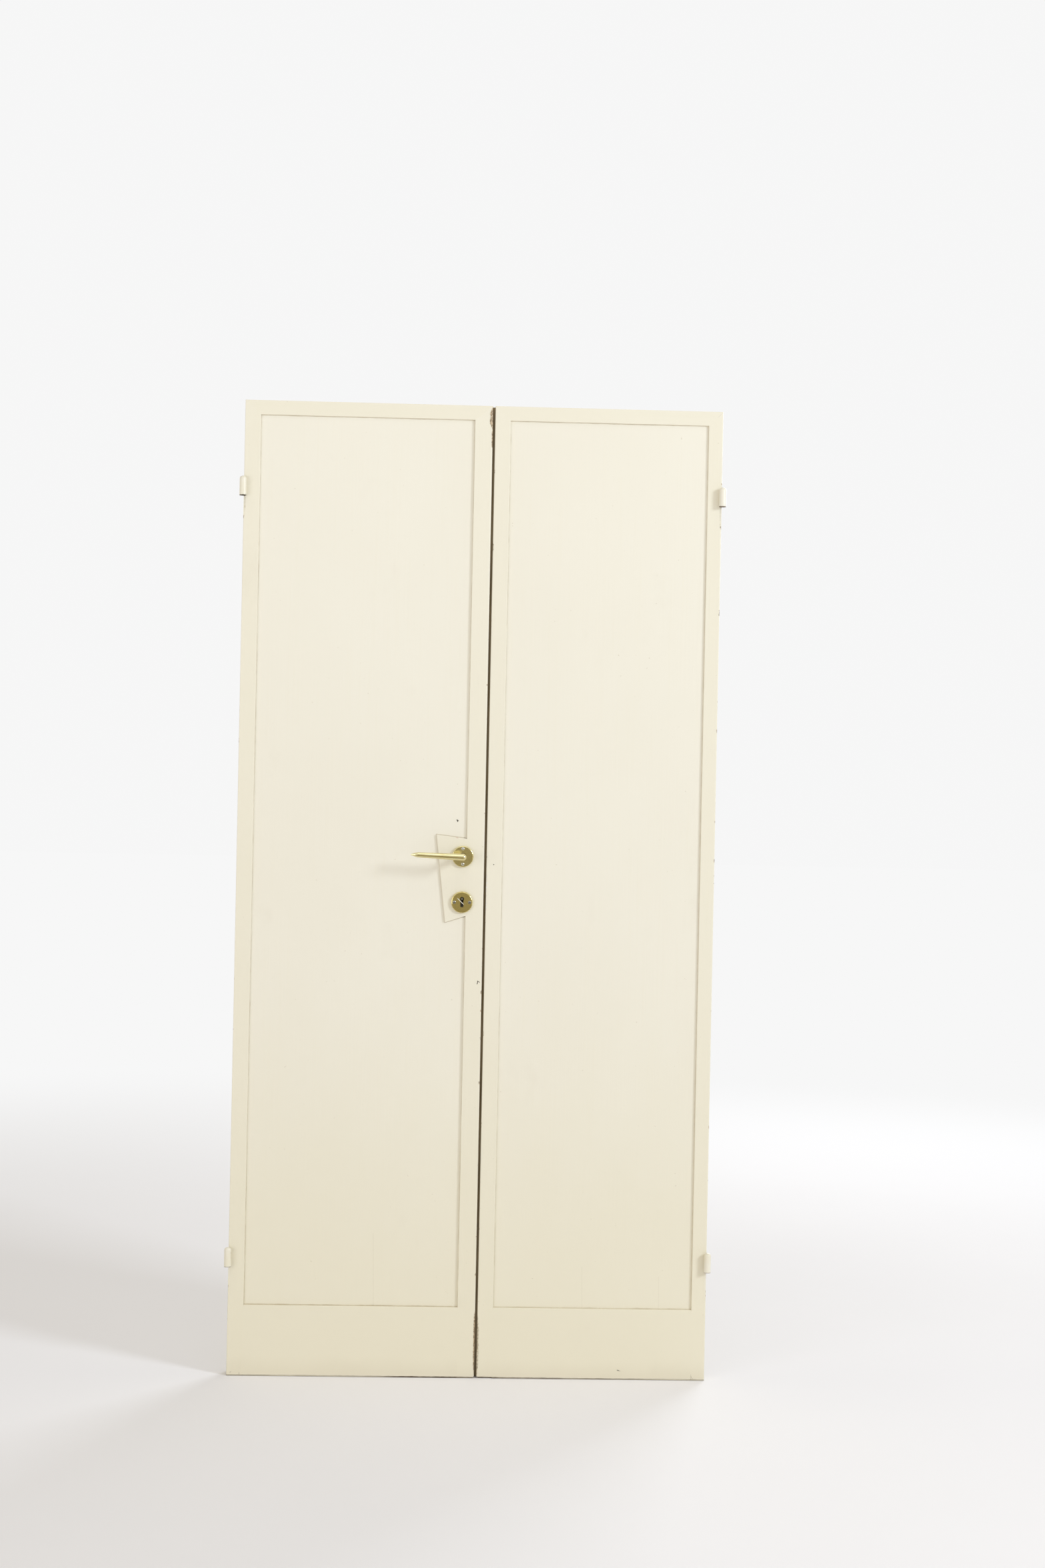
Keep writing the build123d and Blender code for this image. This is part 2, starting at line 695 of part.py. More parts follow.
bolt_inner = case_right - bolt_body
bolt_tail_left = handle_x - bolt_tail_back
bolt_tail_bottom = key_height + bolt_tail_above_key
with BuildPart() as dead_bolt:
    half_bolt = bolt_thickness / 2
    half_tail = bolt_tail_thickness / 2
    span_box(bolt_inner, core_edge, lock_y - half_bolt, lock_y + half_bolt,
             bolt_height_z - bolt_height / 2, bolt_height_z + bolt_height / 2)
    span_box(bolt_tail_left, bolt_inner, lock_y - half_tail, lock_y + half_tail,
             bolt_tail_bottom, bolt_height_z + bolt_height / 2)
    span_box(handle_x - talon_width / 2, handle_x + talon_width / 2, lock_y - half_tail, lock_y + half_tail,
             bolt_tail_bottom, bolt_tail_bottom + talon_height, mode=Mode.SUBTRACT)
    slot_end = stump_radius + stump_clearance
    span_box(handle_x - bolt_throw, handle_x, lock_y - half_tail, lock_y + half_tail,
             stump_z - slot_end, stump_z + slot_end, mode=Mode.SUBTRACT)
    for slot_x in (handle_x - bolt_throw, handle_x):
        cut_round(face_plane(slot_x, case_front, stump_z, (0, -1, 0)), slot_end, case_thickness)
save(dead_bolt, "dead_bolt")


# Roses, escutcheons and levers
def rose_disc(side, height):
    """A turned disc with a rounded rim, seated on one face of the leaf."""
    with Locations(face_plane(handle_x, side * leaf_thickness / 2, height, (0, side, 0))):
        Cylinder(rose_radius, rose_thickness, align=standing)


def rose_rim_edges(piece, side):
    """The outer edge of a disc's face."""
    return piece.edges().filter_by(GeomType.CIRCLE).sort_by(Axis.Y)[-1 if side > 0 else 0]


def handle_rose(side):
    """The disc round a lever's neck, with a low collar."""
    with BuildPart() as rose:
        rose_disc(side, handle_height)
        fillet(rose_rim_edges(rose, side), rose_rim)
        face_y = side * (leaf_thickness / 2 + rose_thickness)
        rose_face = face_plane(handle_x, face_y, handle_height, (0, side, 0))
        with Locations(rose_face):
            Cylinder(rose_collar_radius, rose_collar_height, align=standing)
        cut_round(rose_face, neck_radius + rose_bore_clearance, rose_thickness)
        for plane in rose_screw_planes(side)[:2]:
            cut_round(plane, rose_screw_radius + screw_clearance, rose_thickness)
    return rose


def rose_screws(side):
    """The slotted, dome-headed screws on one face of the leaf."""
    with BuildPart() as screws:
        for plane in rose_screw_planes(side):
            with BuildSketch(Plane(plane.origin, x_dir=(1, 0, 0), z_dir=(0, 0, side))):
                with BuildLine():
                    Polyline((0, rose_screw_head_height), (0, 0), (rose_screw_head_radius, 0))
                    EllipticalCenterArc((0, 0), rose_screw_head_radius, rose_screw_head_height,
                                        start_angle=0, arc_size=quarter_turn)
                make_face()
            revolve(axis=Axis(plane.origin, plane.z_dir))
            with Locations(plane):
                Cylinder(rose_screw_radius, rose_screw_length, align=hanging)
            with Locations(plane.offset(rose_screw_head_height)):
                Box(screw_slot_width, rose_screw_head_radius + rose_screw_head_radius, screw_slot_depth,
                    align=hanging, mode=Mode.SUBTRACT)
    return screws


def lever(side):
    """A lever: a round neck out of the rose, a rounded elbow, and a tapering grip with a pointed nose."""
    elbow = (handle_x, side * neck_end, handle_height)
    grip_plane = Plane(elbow, x_dir=(-lever_length, 0, lever_tip_rise), z_dir=(0, 1, 0))
    nose_start = lever_length - lever_nose_length
    nose_middle = ((nose_start + lever_length) / 2,
                   (lever_nose_radius + lever_tip_radius) / 2 + lever_nose_bulge)
    neck_start = leaf_thickness / 2 + neck_seat_gap
    with BuildPart() as piece:
        with BuildSketch(grip_plane):
            with BuildLine():
                Polyline((lever_length, 0), (0, 0), (0, neck_radius), (nose_start, lever_nose_radius))
                ThreePointArc((nose_start, lever_nose_radius), nose_middle, (lever_length, lever_tip_radius))
                Line((lever_length, lever_tip_radius), (lever_length, 0))
            make_face()
        revolve(axis=Axis(grip_plane.origin, grip_plane.x_dir))
        with Locations(elbow):
            Sphere(neck_radius)
        with Locations(face_plane(handle_x, side * neck_start, handle_height, (0, side, 0))):
            Cylinder(neck_radius, neck_end - neck_start, align=standing)
        socket_end = leaf_thickness / 2 + spindle_in_lever + socket_end_gap
        half_socket = spindle_width / 2 + spindle_clearance
        span_box(handle_x - half_socket, handle_x + half_socket, side * neck_start, side * socket_end,
                 handle_height - half_socket, handle_height + half_socket, mode=Mode.SUBTRACT)
        cut_round(face_plane(handle_x, side * set_screw_y, handle_height - neck_radius, (0, 0, -1)),
                  set_screw_radius + screw_clearance, neck_radius - spindle_width / 2)
    return piece


for side_name, face_side in (("front", -1), ("rear", 1)):
    save(handle_rose(face_side), f"{side_name}_handle_rose")
    save(rose_screws(face_side), f"{side_name}_rose_screws")
    save(lever(face_side), f"{side_name}_lever")

with BuildPart() as key_escutcheon:
    rose_disc(-1, escutcheon_height)
    fillet(rose_rim_edges(key_escutcheon, -1), rose_rim)
    cut_keyhole()
    for screw_plane in rose_screw_planes(-1)[2:]:
        cut_round(screw_plane, rose_screw_radius + screw_clearance, rose_thickness)
save(key_escutcheon, "key_escutcheon")

with BuildPart() as spindle:
    spindle_end = leaf_thickness / 2 + spindle_in_lever
    half_spindle = spindle_width / 2
    span_box(handle_x - half_spindle, handle_x + half_spindle, -spindle_end, spindle_end,
             handle_height - half_spindle, handle_height + half_spindle)
save(spindle, "spindle")

with BuildPart() as lever_set_screws:
    set_screw_length = neck_radius - spindle_width / 2 - set_screw_sink
    for face_side in (-1, 1):
        with Locations((handle_x, face_side * set_screw_y, handle_height - spindle_width / 2)):
            Cylinder(set_screw_radius, set_screw_length, align=hanging)
save(lever_set_screws, "lever_set_screws")

# Strike plate and flush bolts of the passive leaf
with BuildPart() as strike_plate:
    span_box(tongue_edge, tongue_edge + strike_thickness,
             lock_y - strike_width / 2, lock_y + strike_width / 2, forend_bottom, forend_top)
    bolt_windows(tongue_edge, tongue_edge + strike_thickness)
    for screw_plane in strike_screw_planes():
        countersink(screw_plane)
save(strike_plate, "strike_plate")

with BuildPart() as strike_screws:
    for screw_plane in strike_screw_planes():
        wood_screw(screw_plane, plate_screw_length)
save(strike_screws, "strike_screws")

thumb_reach = flush_thumb_height / 2
for end_name, (plate_middle, rod_way) in flush_plate_middles.items():
    with BuildPart() as bolt_plate:
        half_plate = flush_plate_height / 2
        span_box(tongue_edge, tongue_edge + flush_plate_thickness, tongue_y - flush_plate_width / 2,
                 tongue_y + flush_plate_width / 2, plate_middle - half_plate, plate_middle + half_plate)
        slot_start = plate_middle - rod_way * (thumb_reach + flush_slot_clearance)
        slot_stop = plate_middle + rod_way * (thumb_reach + flush_throw + flush_slot_clearance)
        half_slot = flush_thumb_width / 2 + flush_slot_clearance
        span_box(tongue_edge, tongue_edge + flush_plate_thickness, tongue_y - half_slot, tongue_y + half_slot,
                 slot_start, slot_stop, mode=Mode.SUBTRACT)
        for screw_plane in flush_screw_planes(plate_middle):
            countersink(screw_plane)
    save(bolt_plate, f"{end_name}_bolt_plate")

    with BuildPart() as flush_bolt:
        tail = plate_middle - rod_way * flush_rod_tail
        tip = (leaf_height if rod_way > 0 else 0) - rod_way * flush_end_sink
        with Locations(face_plane(flush_rod_x, tongue_y, tail, (0, 0, rod_way))):
            Cylinder(flush_rod_radius, abs(tip - tail), align=standing)
        span_box(tongue_edge - flush_thumb_proud, flush_rod_x, tongue_y - flush_thumb_width / 2,
                 tongue_y + flush_thumb_width / 2, plate_middle - thumb_reach, plate_middle + thumb_reach)
    save(flush_bolt, f"{end_name}_flush_bolt")

with BuildPart() as bolt_plate_screws:
    for plate_middle, _ in flush_plate_middles.values():
        for screw_plane in flush_screw_planes(plate_middle):
            wood_screw(screw_plane, flush_screw_length)
save(bolt_plate_screws, "bolt_plate_screws")
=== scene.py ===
import math
from collections import namedtuple

import bpy
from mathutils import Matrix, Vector


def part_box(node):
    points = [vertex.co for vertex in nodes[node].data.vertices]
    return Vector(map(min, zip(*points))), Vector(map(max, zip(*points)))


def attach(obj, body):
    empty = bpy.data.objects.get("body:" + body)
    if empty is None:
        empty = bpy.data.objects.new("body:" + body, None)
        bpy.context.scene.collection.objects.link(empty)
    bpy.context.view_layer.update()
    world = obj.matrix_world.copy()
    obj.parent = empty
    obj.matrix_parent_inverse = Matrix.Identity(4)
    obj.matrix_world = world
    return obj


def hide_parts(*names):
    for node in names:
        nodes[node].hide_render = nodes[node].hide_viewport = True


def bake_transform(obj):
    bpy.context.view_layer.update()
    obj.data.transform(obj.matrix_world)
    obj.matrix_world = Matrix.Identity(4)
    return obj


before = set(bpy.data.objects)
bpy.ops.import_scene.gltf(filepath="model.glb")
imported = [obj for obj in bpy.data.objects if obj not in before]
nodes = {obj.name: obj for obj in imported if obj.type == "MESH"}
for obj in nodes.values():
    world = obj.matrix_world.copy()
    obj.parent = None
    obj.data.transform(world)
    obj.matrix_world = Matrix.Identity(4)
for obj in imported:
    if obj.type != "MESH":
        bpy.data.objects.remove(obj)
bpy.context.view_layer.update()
scene = bpy.context.scene

# Looks for a pair of old, cream-painted doors. Every CAD node keeps its shape and gets a procedural finish, except
# the latch spring, which a copy replaces. The scene adds a strand in the keyhole and films of paint over four
# joints. Lengths are in metres, in the frame of the CAD model: X runs along the doors, -Y is their front.

LOW, HIGH = 0, 1
X, Y, Z = 0, 1, 2


def limit(node, end, axis):
    """Where a CAD node begins or ends along an axis."""
    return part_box(node)[end][axis]


# Places on the doors
LEAF_TOP = limit("active_top_rail", HIGH, Z)
RAIL_BOTTOM = limit("active_top_rail", LOW, Z)
RAIL_TOP = limit("active_bottom_rail", HIGH, Z)
FRONT = limit("active_bottom_rail", LOW, Y)
LIP_EDGE = limit("active_lock_stile", HIGH, X)
CORE_EDGE = limit("lock_forend", HIGH, X)
PASSIVE_EDGE = limit("passive_top_rail", LOW, X)
LEFT_EDGE = limit("active_hinge_stile", LOW, X)
RIGHT_EDGE = limit("passive_hinge_stile", HIGH, X)
ACTIVE_PANEL = (limit("active_hinge_stile", HIGH, X), limit("active_lock_stile", LOW, X))
PASSIVE_PANEL = (limit("passive_meeting_stile", HIGH, X), limit("passive_hinge_stile", LOW, X))
FLAP_BELOW_KNUCKLE = 0.040
KNUCKLE_ENDS = [limit(f"active_{place}_hinge", LOW, Z) + FLAP_BELOW_KNUCKLE for place in ("upper", "lower")]

# Colours
CREAM = (0.815, 0.768, 0.655)
CREAM_PALE = (0.830, 0.787, 0.680)
CREAM_YELLOW = (0.790, 0.732, 0.572)
# The next colour is for dirt, and also paints shade along the edges of the recessed panels
GRIME_AND_SHADE = (0.34, 0.245, 0.125)
DUST = (0.42, 0.39, 0.34)
STAIN = (0.20, 0.16, 0.11)
RED_SPOT = (0.62, 0.40, 0.33)
DARK_GAP = (0.035, 0.027, 0.018)
# The next colour darkens the foot line, which is partly dirt and partly a painted contact shadow with the floor
FOOT_DARK = (0.062, 0.040, 0.022)
WOOD, WOOD_DARK = (0.33, 0.25, 0.13), (0.16, 0.12, 0.06)
PINE, PINE_DARK = (0.46, 0.35, 0.19), (0.29, 0.21, 0.10)
CHIP_BROWN = ((0.55, 0.43, 0.28), (0.20, 0.14, 0.08))
CHIP_GREY = ((0.64, 0.57, 0.44), (0.33, 0.27, 0.17))
CHIP_WHITE = ((0.88, 0.86, 0.82), (0.66, 0.60, 0.50))
HINGE_STEEL, HINGE_STEEL_DARK = (0.20, 0.155, 0.11), (0.09, 0.074, 0.058)
BRASS, BRASS_DEEP = (0.80, 0.73, 0.44), (0.72, 0.64, 0.35)
BRASS_DULL, BRASS_TARNISH = (0.66, 0.54, 0.20), (0.42, 0.33, 0.12)
RUST = (0.20, 0.095, 0.04)
SCREW_SHADE = (0.12, 0.10, 0.07)

# A pattern of noise: its waves a metre along X, Y and Z, its detail and roughness, the number that it adds to a
# piece's shift, so that no two patterns line up, and the values between which its mask goes from 0 to 1
Pattern = namedtuple("Pattern", "waves detail roughness offset low high", defaults=(3.0, 0.55, 0.0, 0.0, 1.0))


def even(waves):
    return waves, waves, waves


# Paint and wood; strokes and grain run along one of the axes
CLOUD = Pattern((2.1, 2.1, 1.4), low=0.3, high=0.7)
PATCH = Pattern((9.0, 9.0, 6.0), detail=4.0, offset=3.0, low=0.62, high=0.8)
STROKES_UP = Pattern((190.0, 190.0, 4.0), roughness=0.6, low=0.5, high=0.75)
STROKES = {"Z": STROKES_UP, "X": STROKES_UP._replace(waves=(4.0, 190.0, 190.0))}
GRAIN_UP = Pattern((260.0, 260.0, 9.0), detail=4.0, offset=5.0, low=0.35, high=0.7)
GRAIN = {"Z": GRAIN_UP, "X": GRAIN_UP._replace(waves=(9.0, 260.0, 260.0))}
PORES = Pattern(even(900.0), detail=2.0)
SPECKS = Pattern(even(170.0), detail=1.0, offset=8.0, low=0.79, high=0.83)
SCUFFS = Pattern(even(75.0), detail=4.0, offset=9.0)
RUNS = Pattern(even(17.0), offset=2.0, low=0.30, high=0.60)
FLECKS = Pattern((330.0, 330.0, 210.0), detail=4.0, offset=6.0, low=0.42, high=0.60)
PANEL_EDGE = Pattern(even(30.0))
RAGGED = Pattern((240.0, 240.0, 130.0), detail=5.0, roughness=0.7)
NICKS = Pattern((60.0, 60.0, 48.0), offset=4.0, low=0.60, high=0.70)
BREAKS = Pattern((10.0, 10.0, 190.0), detail=2.0, offset=1.0, low=0.48, high=0.56)
SHAKE = Pattern(even(420.0), detail=2.0)
# Metal
HINGE_CLOUD = Pattern((24.0, 24.0, 14.0), detail=4.0, low=0.35, high=0.7)
HINGE_BLOTCH = HINGE_CLOUD._replace(low=0.4, high=0.6)
HINGE_FLAKES = Pattern((260.0, 260.0, 120.0), detail=4.0, roughness=0.65, low=0.70, high=0.76)
BRASS_CLOUD = Pattern(even(38.0), detail=4.0, low=0.35, high=0.7)
BRASS_SMEAR = Pattern((120.0, 120.0, 260.0), offset=2.0, low=0.5, high=0.8)
BRASS_SCRATCH = Pattern((1500.0, 900.0, 90.0), detail=2.0)
BRASS_DENTS = Pattern(even(95.0), detail=1.0, offset=7.0)
STEEL_CLOUD = Pattern(even(55.0), detail=4.0, low=0.35, high=0.7)
STEEL_RUST = STEEL_CLOUD._replace(low=0.5, high=0.66)
STEEL_BRUSH = Pattern((60.0, 700.0, 60.0), detail=2.0, offset=1.0)
# Stage
FLOOR_CLOUD = Pattern(even(1.3), detail=4.0)
CARD_CLOUD = Pattern(even(1.5))


class Graph:
    """A material's node tree, with short ways to add and join nodes."""

    def __init__(self, name):
        self.material = bpy.data.materials.new(name)
        self.material.use_nodes = True
        self.tree = self.material.node_tree
        self.tree.nodes.clear()
        self.surface = self.node("OutputMaterial").inputs["Surface"]
        coord = self.node("TexCoord")
        self.place = coord.outputs["Object"]
        self.x, self.y, self.z = self.split(self.place)
        self.nx, self.ny, self.nz = self.split(coord.outputs["Normal"])

    def node(self, kind):
        return self.tree.nodes.new("ShaderNode" + kind)

    def put(self, value, socket):
        if isinstance(value, bpy.types.NodeSocket):
            self.tree.links.new(value, socket)
        else:
            socket.default_value = value

    def split(self, vector):
        node = self.node("SeparateXYZ")
        self.put(vector, node.inputs[0])
        return node.outputs[X], node.outputs[Y], node.outputs[Z]

    def math(self, operation, a, b=0.0, clamp=False):
        node = self.node("Math")
        node.operation = operation
        node.use_clamp = clamp
        self.put(a, node.inputs[0])
        self.put(b, node.inputs[1])
        return node.outputs[0]

    def fold(self, operation, values):
        result = values[0]
        for value in values[1:]:
            result = self.math(operation, result, value)
        return result

    def add(self, *values):
        return self.fold("ADD", values)

    def times(self, *values):
        return self.fold("MULTIPLY", values)

    def most(self, *values):
        return self.fold("MAXIMUM", values)

    def least(self, *values):
        return self.fold("MINIMUM", values)

    def length(self, a, b):
        return self.math("SQRT", self.add(self.times(a, a), self.times(b, b)))

    def vector(self, operation, a, b):
        node = self.node("VectorMath")
        node.operation = operation
        self.put(a, node.inputs[0])
        self.put(b, node.inputs[1])
        return node.outputs[0]

    def step(self, value, low, high):
        """0 below low and 1 above high, eased between; falls instead if low is above high."""
        node = self.node("MapRange")
        node.interpolation_type = "SMOOTHSTEP"
        rising = low < high
        self.put(value, node.inputs["Value"])
        node.inputs["From Min"].default_value = min(low, high)
        node.inputs["From Max"].default_value = max(low, high)
        node.inputs["To Min"].default_value = 0.0 if rising else 1.0
        node.inputs["To Max"].default_value = 1.0 if rising else 0.0
        return node.outputs["Result"]

    def faces(self, normal, sign):
        """1 where the surface faces along an axis; sign is 1 or -1, and normal is nx, ny or nz."""
        return self.step(normal, 0.5 * sign, 0.8 * sign)

    def level(self, normal):
        """1 where the surface faces along an axis, nearer to square on than faces asks for."""
        return self.step(normal, 0.7, 0.9)

    def noise(self, pattern, shift=0.0):
        """A pattern over the object, from 0 to 1."""
        offset = shift + pattern.offset
        spread = self.vector("MULTIPLY", self.place, pattern.waves)
        moved = self.vector("ADD", spread, (offset, 1.7 * offset, 2.3 * offset))
        node = self.node("TexNoise")
        self.put(moved, node.inputs["Vector"])
        node.inputs["Scale"].default_value = 1.0
        node.inputs["Detail"].default_value = pattern.detail
        node.inputs["Roughness"].default_value = pattern.roughness
        return node.outputs["Fac"]

    def mask(self, noise, pattern):
        """The noise of a pattern, hardened between its low and high."""
        return self.step(noise, pattern.low, pattern.high)

    def sway(self, noise, span):
        """Noise made into a shift, by up to half of span either way."""
        return self.times(self.add(noise, -0.5), span)

    def mix(self, share, a, b):
        node = self.node("Mix")
        node.data_type = "RGBA"
        self.put(share, node.inputs[0])
        for color, socket in ((a, node.inputs[6]), (b, node.inputs[7])):
            self.put(color if isinstance(color, bpy.types.NodeSocket) else (*color, 1.0), socket)
        return node.outputs[2]

    def bump(self, height, distance):
        node = self.node("Bump")
        node.inputs["Strength"].default_value = 1.0
        node.inputs["Distance"].default_value = distance
        self.put(height, node.inputs["Height"])
        return node.outputs[0]

    def segment(self, a, b, width, ragged=0.0006):
        """1 on a thin line in the front view from a to b, given as (x, z); wavy by ragged metres."""
        shake = self.sway(self.noise(SHAKE), 2.0 * ragged)
        px = self.add(self.x, shake, -a[0])
        pz = self.add(self.z, shake, -a[1])
        dx, dz = b[0] - a[0], b[1] - a[1]
        square = max(dx * dx + dz * dz, 1e-10)
        reached = self.add(self.times(px, dx / square), self.times(pz, dz / square))
        along = self.math("ADD", reached, 0.0, clamp=True)
        away = self.length(self.add(px, self.times(along, -dx)), self.add(pz, self.times(along, -dz)))
        return self.step(away, 1.3 * width, 0.6 * width)

    def shade(self, color, roughness, metallic=0.0, normal=None):
        node = self.node("BsdfPrincipled")
        self.put(color, node.inputs["Base Color"])
        self.put(roughness, node.inputs["Roughness"])
        self.put(metallic, node.inputs["Metallic"])
        if normal is not None:
            self.put(normal, node.inputs["Normal"])
        self.put(node.outputs[0], self.surface)
        return self.material

    def glow(self, color):
        node = self.node("Emission")
        self.put(color, node.inputs["Color"])
        return node.outputs[0]


# Old paint. Heights and depths of its marks are in metres, and shares go from 0 to 1.
# The first four values paint shade: the paint turns darker and yellower from high up down to the foot, for light
# that falls off downwards
LOWER_SHADE_FROM, LOWER_SHADE_TO, LOWER_SHADE_UNEVEN, LOWER_SHADE_SHARE = 0.95, 0.05, 0.25, 0.8
STROKE_SHARE, SMUDGE_SHARE, SPECK_SHARE = 0.10, 0.05, 0.25
FOOT_UNEVEN = 0.0018
RIM_START, RIM_FULL, RIM_FADE, RIM_END, RIM_SHARE = 0.0026, 0.0034, 0.0040, 0.0048, 0.3
LINE_FULL, LINE_END, LINE_LEAST = 0.0020, 0.0030, 0.7
FOOT_DIRT_TOP, FOOT_DIRT_UNEVEN, FOOT_DIRT_SHARE = 0.045, 0.05, 0.10
DARK_LEFT, DARK_LEFT_FULL, DARK_RIGHT_FULL, DARK_RIGHT = -0.23, -0.12, -0.05, 0.50
LINE_SHARE, DARK_LINE_MORE = 0.45, 0.55
UNDERSIDE_FROM, UNDERSIDE_TO = 0.01, 0.02
DUST_DEPTH, DUST_FULL_DEPTH, DUST_LEAST, DUST_PATCHES = 0.02, 0.01, 0.2, 0.4
STROKE_HEIGHT, PORE_HEIGHT = 0.55, 0.12
CHIP_DENT, MARK_DENT = -1.5, -2.0
PAINT_RELIEF = 0.00022
PAINT_ROUGH, CLOUD_ROUGH, PATCH_ROUGH, DIRT_ROUGH, DUST_ROUGH = 0.27, 0.12, 0.10, 0.25, 0.5

# A thin mark on the front: (x, z) of its two ends, its width, its colour and how strong that is; a dent is bumped
Mark = namedtuple("Mark", "start end width tint share dent", defaults=(DARK_GAP, 1.0, True))


def stain(start, end, width, tint, share):
    return Mark(start, end, width, tint, share, dent=False)


def foot_share(g):
    """How dark the foot's line is: most from the middle of the left leaf to the gap, less towards the right."""
    dark = g.least(g.step(g.x, DARK_LEFT, DARK_LEFT_FULL), g.step(g.x, DARK_RIGHT, DARK_RIGHT_FULL))
    return g.add(g.times(dark, DARK_LINE_MORE), LINE_SHARE)


def worn_and_shaded_foot(g, color, shift):
    """Adds the dark line along the very foot, partly dirt on the worn arris and partly a painted contact shadow
    with the floor, and the pale rim above it.
    """
    rise = g.add(g.z, g.sway(g.noise(SCUFFS, shift), FOOT_UNEVEN))
    rim = g.times(g.step(rise, RIM_START, RIM_FULL), g.step(rise, RIM_END, RIM_FADE))
    color = g.mix(g.times(rim, RIM_SHARE), color, CREAM_PALE)
    runs = g.mask(g.noise(RUNS, shift), RUNS)
    line = g.times(g.step(rise, LINE_END, LINE_FULL), g.add(g.times(runs, 1.0 - LINE_LEAST), LINE_LEAST))
    return g.mix(g.times(line, foot_share(g)), color, FOOT_DARK)


def painted(name, along, shift, yellowed=0.0, bare=None, chips=(), grime_and_shade=None, marks=()):
    """Old cream paint on wood.

    along is the axis of the brush strokes and the grain, and yellowed is a share. bare is a function that makes a
    mask of bare wood, the argument after it one that makes a mask of dirt and painted shade, and chips pairs such a
    function with two tints. shift moves the patterns. The paint is also made darker and yellower towards the foot,
    as painted shade.
    """
    g = Graph(name)
    cloud = g.noise(CLOUD, shift)
    patch = g.noise(PATCH, shift)
    brush = g.noise(STROKES[along], shift)
    specks = g.mask(g.noise(SPECKS, shift), SPECKS)
    flecks = g.mask(g.noise(FLECKS, shift), FLECKS)
    grain = g.mask(g.noise(GRAIN[along], shift), GRAIN[along])
    height = g.add(g.times(brush, STROKE_HEIGHT), g.times(g.noise(PORES), PORE_HEIGHT))

    color = g.mix(g.mask(cloud, CLOUD), CREAM, CREAM_PALE)
    color = g.mix(yellowed, color, CREAM_YELLOW)
    # Painted shade: darker and yellower towards the foot, for light that falls off downwards
    low = g.step(g.add(g.z, g.sway(patch, LOWER_SHADE_UNEVEN)), LOWER_SHADE_FROM, LOWER_SHADE_TO)
    color = g.mix(g.times(low, LOWER_SHADE_SHARE), color, CREAM_YELLOW)
    color = g.mix(g.times(g.mask(brush, STROKES[along]), STROKE_SHARE), color, CREAM_YELLOW)
    color = g.mix(g.times(g.mask(patch, PATCH), SMUDGE_SHARE), color, GRIME_AND_SHADE)
    color = g.mix(g.times(specks, SPECK_SHARE), color, GRIME_AND_SHADE)
    # The dark foot line is partly dirt and partly a painted contact shadow with the floor
    color = worn_and_shaded_foot(g, color, shift)

    dirt_and_shade = g.step(g.add(g.z, g.sway(patch, FOOT_DIRT_UNEVEN)), FOOT_DIRT_TOP, 0.0)
    dirt_and_shade = g.times(dirt_and_shade, FOOT_DIRT_SHARE)
    # Dirt at the foot, joined where asked by dirt and painted shade round a recessed panel
    if grime_and_shade is not None:
        dirt_and_shade = g.most(dirt_and_shade, grime_and_shade(g))
    color = g.mix(dirt_and_shade, color, GRIME_AND_SHADE)

    if bare is not None:
        color = g.mix(bare(g), color, g.mix(grain, PINE, PINE_DARK))
    underside = g.times(g.level(g.math("ABSOLUTE", g.nz)), g.step(g.z, UNDERSIDE_TO, UNDERSIDE_FROM))
    color = g.mix(underside, color, g.mix(grain, WOOD, WOOD_DARK))
    dusty = g.times(g.level(g.nz), g.step(g.z, LEAF_TOP - DUST_DEPTH, LEAF_TOP - DUST_FULL_DEPTH))
    color = g.mix(g.times(dusty, g.add(g.times(patch, DUST_PATCHES), DUST_LEAST)), color, DUST)

    for mask, (tint, other) in chips:
        chipped = mask(g)
        color = g.mix(chipped, color, g.mix(flecks, tint, other))
        height = g.add(height, g.times(chipped, CHIP_DENT))
    for mark in marks:
        line = g.times(g.segment(mark.start, mark.end, mark.width), g.faces(g.ny, -1))
        color = g.mix(g.times(line, mark.share), color, mark.tint)
        if mark.dent:
            height = g.add(height, g.times(line, MARK_DENT))

    rough = g.add(PAINT_ROUGH, g.times(cloud, CLOUD_ROUGH), g.times(patch, PATCH_ROUGH),
                  g.times(dirt_and_shade, DIRT_ROUGH), g.times(dusty, DUST_ROUGH))
    return g.shade(color, rough, normal=g.bump(height, PAINT_RELIEF))


# How far dirt and painted shade reach from the foot, the head and the sides of a panel, and how strong they are at
# its head and sides
GRIME_SHADE_UNEVEN, GRIME_SHADE_FULL = 0.004, 0.0012
GRIME_SHADE_FOOT, GRIME_SHADE_HEAD, GRIME_SHADE_SIDE = 0.0048, 0.0042, 0.0040
HEAD_SHARE, SIDE_SHARE = 0.5, 0.45


def panel_grime_and_shade(inner, foot_strength):
    """Dirt and painted shade gathered round a recessed panel, which lies between the two inner edges."""
    left, right = inner

    def mask(g):
        uneven = g.times(g.noise(PANEL_EDGE), GRIME_SHADE_UNEVEN)
        above = g.add(g.z, -RAIL_TOP, uneven)
        below = g.add(g.times(g.z, -1.0), RAIL_BOTTOM, uneven)
        beside = g.add(g.least(g.add(g.x, -left), g.add(g.times(g.x, -1.0), right)), uneven)
        foot = g.times(g.step(above, GRIME_SHADE_FOOT, GRIME_SHADE_FULL), foot_strength)
        head = g.times(g.step(below, GRIME_SHADE_HEAD, GRIME_SHADE_FULL), HEAD_SHARE)
        side = g.times(g.step(beside, GRIME_SHADE_SIDE, GRIME_SHADE_FULL), SIDE_SHARE)
        return g.most(foot, head, side)

    return mask


